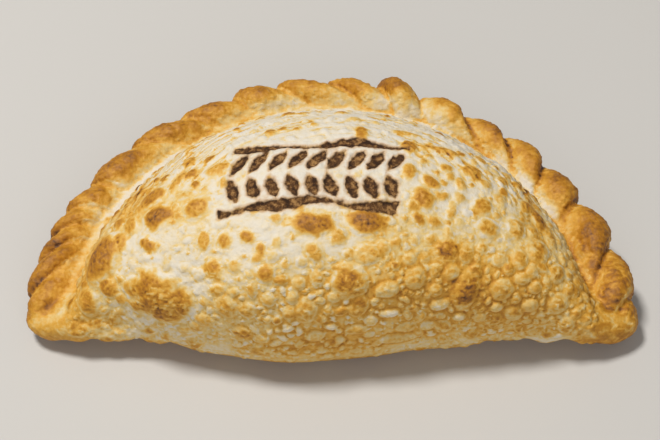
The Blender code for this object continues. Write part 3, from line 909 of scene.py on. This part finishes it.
def crust_piece():
    """The crust: the dough's skin with its blisters, browning, painted shade and light, and burnt mark.
    """
    crust = dough_skin()
    points = fit_to_solid(skin_points(crust))
    set_skin_points(crust, points)
    normals = skin_normals(crust)
    points += normals * (dough_noise(points, SWELL_SIZE, 1) * SWELL_HEIGHT)[:, None]
    points = settle(points)
    set_skin_points(crust, points)
    normals = skin_normals(crust)

    wobble = dough_noise(points, WOBBLE_SIZE, 2)
    fine = dough_noise(points, FINE_SIZE, 3)
    broad = dough_noise(points, BROAD_SIZE, 4, octaves=2)
    flakes = dough_noise(points * FLAKE_STRETCH, FLAKE_SIZE, 5, octaves=2)
    wrinkles = 1 - np.clip(np.abs(dough_noise(points, WRINKLE_SIZE, 9)) * WRINKLE_SHARPNESS, 0, 1)
    beads = pebbles(points, BEAD_SIZE, 1)
    cracks = np.clip(1 - np.abs(flakes) * CRACK_SHARPNESS, 0, 1)

    tree = BVHTree.FromObject(crust, bpy.context.evaluated_depsgraph_get())
    crowd = crowding(points)
    golden = goldenness(points)
    crown = np.where(front_turn(points) < CROWN_TURN, 1 - golden, FRONT_BESIDE_CROWN)
    thickness = {"golden": golden, "low front": crowd, "crown": crown}
    blisters = large_blisters(tree)
    draw = np.random.default_rng(SCATTER_SEED)
    for scatter in SCATTERS:
        blisters += scattered_blisters(
            points, normals, thickness[scatter[-1]], blisters, scatter, draw
        )
    height, browning, cover, wrinkled, crackled, ring, outline = blister_relief(
        points, blisters, crowd, wobble, fine
    )
    wrinkled *= 1 - CRACKLED_WRINKLE_LOSS * crackled

    x, _, z = points.T
    turn = front_turn(points)
    gap = weighed((1, *MARK_RAGGEDNESS), mark_gap(points), wobble, fine)
    burnt = 1 - ease(*BURNT, gap)
    folds, on_crimp, radius, angle = crimp_browning(points)
    streaks = streaked(angle, radius, z, *STREAKS)
    streaks = streaks + FINE_STREAK_SHARE * streaked(angle, radius, z, *FINE_STREAKS)
    layers = streaked(angle, radius, z, *LAYERS)
    layer_edge = np.clip(1 - np.abs(layers) * LAYER_SHARPNESS, 0, 1)
    flaky = ease(*FLAKY_FROM, radius) * (1 - ease(*FLAKY_TO, radius))
    flaky *= ease(*FLAKY_ANGLES, angle) * (1 - ease(*FLAKY_TO_TURNS, turn)) * (1 - burnt)
    least, more = BACK_FLAKINESS
    flaky *= least + more * ease(*FLAKY_BACK_TURNS, turn)

    height = height * (1 - BURNT_FLATTENING * burnt) - CHAR_SUNK * burnt
    height += CRACKLE_RISE * beads * crackled + WRINKLE_RISE * (wrinkles - USUAL_WRINKLE) * wrinkled
    height += weighed(SKIN_RELIEF, fine, wobble) * MM
    height -= CRACK_DEPTH * cracks * (1 - COVERED_CRACK_LOSS * cover)
    height += weighed(LAYER_RELIEF, layers, layer_edge) * MM * flaky
    height += weighed(CRIMP_RELIEF, streaks, wobble, fine, cracks) * MM * on_crimp
    height = np.where(z < ON_BOARD, 0, height)
    points = points + normals * height[:, None]
    points[:, 2] = np.maximum(points[:, 2], 0)
    set_skin_points(crust, points)
    normals = skin_normals(crust)
    crease = np.clip(hollows(crust, points, normals, CREASE_PASSES) / CREASE_DEPTH, -1, 1)
    valley = hollows(crust, points, normals, VALLEY_PASSES) / VALLEY_DEPTH
    valley = np.clip(valley - VALLEY_FROM, 0, 1)

    left_end = ease(*LEFT_END, -x + LEFT_END_RAGGEDNESS * broad)
    right_end = ease(*RIGHT_END, x)
    middle_front = np.exp(-((x / MIDDLE_FRONT_SIZE) ** 2))
    stains = stained(tree, points)
    tone = BASE_TONE + BROAD_TONE * broad + FRONT_TONE * ease(*FRONT_TURNS, turn)
    tone = tone + GOLDEN_TONE * golden
    # Browning and painted shade along the lowest band of the front.
    low_front = ease(*LOW_FRONT_TURNS, turn) * (LOW_FRONT_BROWNING_AND_SHADE + MIDDLE_FRONT_BROWNING_AND_SHADE * middle_front)
    tone += low_front + crowd * (CROWD_TONE - CROWD_COVER_LOSS * cover)
    tone += stains
    tone = tone + (LEFT_END_TONE - tone) * left_end + (RIGHT_END_TONE - tone) * right_end
    on_blisters = weighed(BLISTER_TONE, wobble, fine, stains)
    tone = np.maximum(tone, browning + on_blisters * cover)
    crackle = CRACKLED_TONE * crackled * (USUAL_BEAD - beads)
    # Painted highlight on the wrinkle ridges and painted shade in their gaps.
    tone += crackle + WRINKLE_HIGHLIGHT_AND_SHADE * wrinkled * (USUAL_WRINKLE - wrinkles)
    tone -= RING_PALING * ring * (1 - ease(*RING_BROWNINGS, browning))
    # Browning and painted shade round the foot of each blister.
    least, more = OUTLINE_CROWDING
    tone += OUTLINE_SHADE_AND_BROWNING * outline * (least + more * crowd)
    in_back = ease(*BACK_VALLEY_ANGLES, angle)
    tone -= BACK_VALLEY_PALING * valley * in_back * ease(*BACK_VALLEY_RADII, radius)
    tone = tone * (1 - on_crimp) + np.maximum(folds, tone * CRIMP_KEEPS) * on_crimp
    tone += weighed(CRIMP_TONE, streaks, broad, wobble, fine) * on_crimp
    palest = np.maximum(tone, PALEST_FOLD + PALEST_FOLD_WOBBLE * wobble)
    tone = np.where(on_crimp > 0.5, palest, tone)
    tone += CRACK_TONE * cracks * (1 - cover)
    below = LAYER_TONE * np.clip(-layers - LAYER_TONE_FROM, 0, 1)
    tone += flaky * (below + LAYER_EDGE_TONE * layer_edge * (LAYER_EDGE_BASE + broad))
    tone += FLAKY_TONE * flaky * np.clip(broad + FLAKY_WOBBLE * wobble - FLAKY_TONE_FROM, 0, 1)
    # Painted shade and browning down in the valley by the rim.
    valley_shade_and_browning = VALLEY_SHADE_AND_BROWNING + RIGHT_VALLEY_SHADE_AND_BROWNING * (1 - ease(*RIGHT_VALLEY_ANGLES, angle))
    tone += valley_shade_and_browning * valley * ease(*VALLEY_RADII, radius)
    at_ends = 1 - ease(*FLAKY_ANGLES, angle)
    tone -= END_CRACK_PALING * cracks * at_ends * ease(*END_CRACK_TONES, tone)
    # Painted shade low down, close to the board.
    tone += NEAR_BOARD_PAINTED_SHADE * (1 - ease(*NEAR_BOARD, z))
    on_rim = ease(*RIM_CREASE_RADII, radius) * ease(*UPPER_ANGLES, angle)
    # Painted shade and browning in the creases, painted light on the crests.
    crease_shade_and_browning = (CREASE_SHADE_AND_BROWNING - RIM_CREASE_LOSS * on_rim) * np.clip(crease, 0, 1)
    tone += crease_shade_and_browning - CREST_PAINTED_LIGHT * np.clip(-crease, 0, 1)
    underside = np.maximum(tone, UNDERSIDE_TONE + UNDERSIDE_BROAD * broad)
    tone = np.where(normals[:, 2] < UNDERSIDE_FACING, underside, tone)

    # The browning attribute holds the painted shade and painted light as well as the browning.
    set_attribute(crust, "browning", tone)
    set_attribute(crust, "mark_gap", gap)
    triangles = sum(len(face.vertices) - 2 for face in crust.data.polygons)
    thin = crust.modifiers.new("lighter", "DECIMATE")
    thin.ratio = min(1, MOST_TRIANGLES / triangles)
    bake_modifiers(crust)
    crust.data.shade_smooth()
    return crust


# Materials.

BROWNING_COLOURS = (
    (0.00, (0.71, 0.65, 0.55)),
    (0.14, (0.72, 0.62, 0.45)),
    (0.30, (0.715, 0.51, 0.19)),
    (0.46, (0.67, 0.355, 0.050)),
    (0.60, (0.53, 0.238, 0.018)),
    (0.75, (0.39, 0.155, 0.008)),
    (0.90, (0.22, 0.086, 0.014)),
    (1.00, (0.08, 0.028, 0.006)),
)

# Noise in the materials is given as its scale, detail and roughness.
MOTTLE = (260, 3)
MOTTLE_STRENGTH = 0.20
GRAIN = (1200, 3)
GRAIN_LEAST = 0.12
GRAIN_WITH_BROWNING = 0.45

# The mark: char inside its strokes, and scorched crust close round them.
CHAR_EDGE = (500, 4)
CHAR_EDGE_STRENGTH = 1.3
CHAR_MOTTLE = 0.8
CHAR_SPAN = (0.25, -0.25)
SCORCH_SPAN = (0.8, 0.0)
SCORCH_STRENGTH = 0.6
SCORCH_COLOUR = (0.52, 0.25, 0.05, 1)
CHAR_GRAIN = (700, 4, 0.65)
CHAR_GRAIN_STRENGTH = 1.6
CHAR_EDGE_TONE = 0.38
CHAR_LIGHTER_INSIDE = 0.16
CHAR_COLOURS = (
    (0.32, (0.034, 0.014, 0.005)),
    (0.50, (0.110, 0.047, 0.014)),
    (0.70, (0.34, 0.18, 0.060)),
)

# Browner crust is a little glossier, and char is dull.
GLOSS_SPAN = (0.15, 0.65)
GLOSS_ROUGHNESS = (0.62, 0.54)
CHAR_DULLNESS = 0.35
SPECULAR = 0.34

# Pores and grains too small for the mesh.
PORES_SCALE = 520
PORES_DEPTH = -0.35
SMALL_GRAIN = (1500, 4, 0.6)
SMALL_GRAIN_STRENGTH = 0.5
COARSE_GRAIN = (420, 4)
BUMP_STRENGTH = 0.9
BUMP_HEIGHT = 0.40 * MM

# Sockets of the mix node when it mixes colours.
MIX_AMOUNT, MIX_UNDER, MIX_OVER, MIX_RESULT = 0, 6, 7, 2


def ramp(nodes, stops):
    made = nodes.new("ShaderNodeValToRGB")
    made.color_ramp.interpolation = "LINEAR"
    elements = made.color_ramp.elements
    elements[0].position, elements[0].color = stops[0][0], (*stops[0][1], 1)
    elements[1].position, elements[1].color = stops[-1][0], (*stops[-1][1], 1)
    for place, colour in stops[1:-1]:
        element = elements.new(place)
        element.color = (*colour, 1)
    return made


def math_node(nodes, links, operation, first, second):
    made = nodes.new("ShaderNodeMath")
    made.operation = operation
    for socket, value in zip(made.inputs, (first, second)):
        if hasattr(value, "is_output"):
            links.new(value, socket)
        else:
            socket.default_value = value
    return made.outputs[0]


def map_range(nodes, links, value, span, result=None):
    """Takes a value from its span smoothly to 0 to 1, or evenly to the given result."""
    made = nodes.new("ShaderNodeMapRange")
    made.inputs["From Min"].default_value, made.inputs["From Max"].default_value = span
    if result:
        made.inputs["To Min"].default_value, made.inputs["To Max"].default_value = result
    else:
        made.interpolation_type = "SMOOTHSTEP"
    links.new(value, made.inputs["Value"])
    return made.outputs["Result"]


def mixed(nodes, links, amount, under):
    """A node that lays another colour over the one under it, by the amount."""
    made = nodes.new("ShaderNodeMix")
    made.data_type = "RGBA"
    links.new(amount, made.inputs[MIX_AMOUNT])
    links.new(under, made.inputs[MIX_UNDER])
    return made


def crust_material():
    material = bpy.data.materials.new("baked crust")
    material.use_nodes = True
    nodes = material.node_tree.nodes
    links = material.node_tree.links
    shader = nodes["Principled BSDF"]
    coordinates = nodes.new("ShaderNodeTexCoord").outputs["Object"]

    def spots(scale, detail=2.0, roughness=0.5):
        made = nodes.new("ShaderNodeTexNoise")
        made.inputs["Scale"].default_value = scale
        made.inputs["Detail"].default_value = detail
        made.inputs["Roughness"].default_value = roughness
        links.new(coordinates, made.inputs["Vector"])
        return math_node(nodes, links, "SUBTRACT", made.outputs["Fac"], 0.5)

    def attribute(name):
        made = nodes.new("ShaderNodeAttribute")
        made.attribute_name = name
        return made.outputs["Fac"]

    def times(first, second):
        return math_node(nodes, links, "MULTIPLY", first, second)

    def plus(first, second):
        return math_node(nodes, links, "ADD", first, second)

    # The browning attribute brings painted shade and painted light along with the browning.
    smooth_browning_and_shade = attribute("browning")
    speckled = plus(times(smooth_browning_and_shade, GRAIN_WITH_BROWNING), GRAIN_LEAST)
    mottle = spots(*MOTTLE)
    grain = plus(times(spots(*GRAIN), speckled), times(mottle, MOTTLE_STRENGTH))
    browning = plus(smooth_browning_and_shade, grain)
    crust_colour = ramp(nodes, BROWNING_COLOURS)
    links.new(browning, crust_colour.inputs["Fac"])

    ragged = plus(times(spots(*CHAR_EDGE), CHAR_EDGE_STRENGTH), times(mottle, CHAR_MOTTLE))
    char_edge = plus(attribute("mark_gap"), ragged)
    char = map_range(nodes, links, char_edge, CHAR_SPAN)
    scorch = map_range(nodes, links, char_edge, SCORCH_SPAN)
    scorched = mixed(nodes, links, times(scorch, SCORCH_STRENGTH), crust_colour.outputs["Color"])
    scorched.inputs[MIX_OVER].default_value = SCORCH_COLOUR
    charred = mixed(nodes, links, char, scorched.outputs[MIX_RESULT])
    char_grain = times(spots(*CHAR_GRAIN), CHAR_GRAIN_STRENGTH)
    inside = times(attribute("mark_gap"), -CHAR_LIGHTER_INSIDE)
    char_colour = ramp(nodes, CHAR_COLOURS)
    links.new(plus(plus(char_grain, CHAR_EDGE_TONE), inside), char_colour.inputs["Fac"])
    links.new(char_colour.outputs["Color"], charred.inputs[MIX_OVER])
    links.new(charred.outputs[MIX_RESULT], shader.inputs["Base Color"])

    rough = map_range(nodes, links, browning, GLOSS_SPAN, GLOSS_ROUGHNESS)
    links.new(plus(rough, times(char, CHAR_DULLNESS)), shader.inputs["Roughness"])
    shader.inputs["Specular IOR Level"].default_value = SPECULAR

    cells = nodes.new("ShaderNodeTexVoronoi")
    cells.inputs["Scale"].default_value = PORES_SCALE
    links.new(coordinates, cells.inputs["Vector"])
    pores = times(cells.outputs["Distance"], PORES_DEPTH)
    small_grain = times(spots(*SMALL_GRAIN), SMALL_GRAIN_STRENGTH)
    relief = plus(small_grain, plus(pores, spots(*COARSE_GRAIN)))
    bump = nodes.new("ShaderNodeBump")
    bump.inputs["Strength"].default_value = BUMP_STRENGTH
    bump.inputs["Distance"].default_value = BUMP_HEIGHT
    links.new(relief, bump.inputs["Height"])
    links.new(bump.outputs["Normal"], shader.inputs["Normal"])
    return material


def pale_floor():
    """The plain pale surface that the pie lies on."""
    plate = bmesh.new()
    bmesh.ops.create_grid(plate, x_segments=1, y_segments=1, size=3)
    mesh = bpy.data.meshes.new("floor")
    plate.to_mesh(mesh)
    plate.free()
    floor = bpy.data.objects.new("floor", mesh)
    floor.location.z = -0.05 * MM
    bpy.context.scene.collection.objects.link(floor)
    material = bpy.data.materials.new("pale floor")
    material.use_nodes = True
    shader = material.node_tree.nodes["Principled BSDF"]
    shader.inputs["Base Color"].default_value = (0.56, 0.54, 0.51, 1)
    shader.inputs["Roughness"].default_value = 0.8
    mesh.materials.append(material)
    return floor


def soft_light(name, place, aim, size, power, colour=(1, 1, 1)):
    light = bpy.data.lights.new(name, "AREA")
    light.shape = "DISK"
    light.size = size
    light.energy = power
    light.color = colour
    lamp = bpy.data.objects.new(name, light)
    lamp.location = place
    lamp.rotation_euler = (Vector(aim) - Vector(place)).to_track_quat("-Z", "Y").to_euler()
    bpy.context.scene.collection.objects.link(lamp)


def studio():
    middle = Vector((0, 0, HEIGHT / 2))
    warm = (1.0, 0.985, 0.96)
    soft_light("window", (-0.31, 0.10, 0.93), middle, size=0.22, power=8.5, colour=warm)
    soft_light("fill", (0.1, -0.85, 0.45), middle, size=0.9, power=2.6)
    world = bpy.data.worlds.new("room")
    world.use_nodes = True
    world.node_tree.nodes["Background"].inputs["Color"].default_value = (1, 0.99, 0.97, 1)
    world.node_tree.nodes["Background"].inputs["Strength"].default_value = 0.20
    bpy.context.scene.world = world
    bpy.context.scene.view_settings.view_transform = "Standard"


CAMERA_ELEVATION_DEG = 50
CAMERA_DISTANCE = 353 * MM
CAMERA_AIM = Vector((-0.3, -2.7, 11.5)) * MM
CAMERA_LENS = 81.8


def camera():
    elevation = math.radians(CAMERA_ELEVATION_DEG)
    back = Vector((0, -math.cos(elevation), math.sin(elevation)))
    lens = bpy.data.cameras.new("camera")
    lens.lens = CAMERA_LENS
    made = bpy.data.objects.new("camera", lens)
    made.location = CAMERA_AIM + back * CAMERA_DISTANCE
    made.rotation_euler = (-back).to_track_quat("-Z", "Y").to_euler()
    bpy.context.scene.collection.objects.link(made)
    bpy.context.scene.camera = made


crust = crust_piece()
crust.data.materials.clear()
crust.data.materials.append(crust_material())
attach(crust, "root")
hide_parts(NODE)
pale_floor()
studio()
camera()
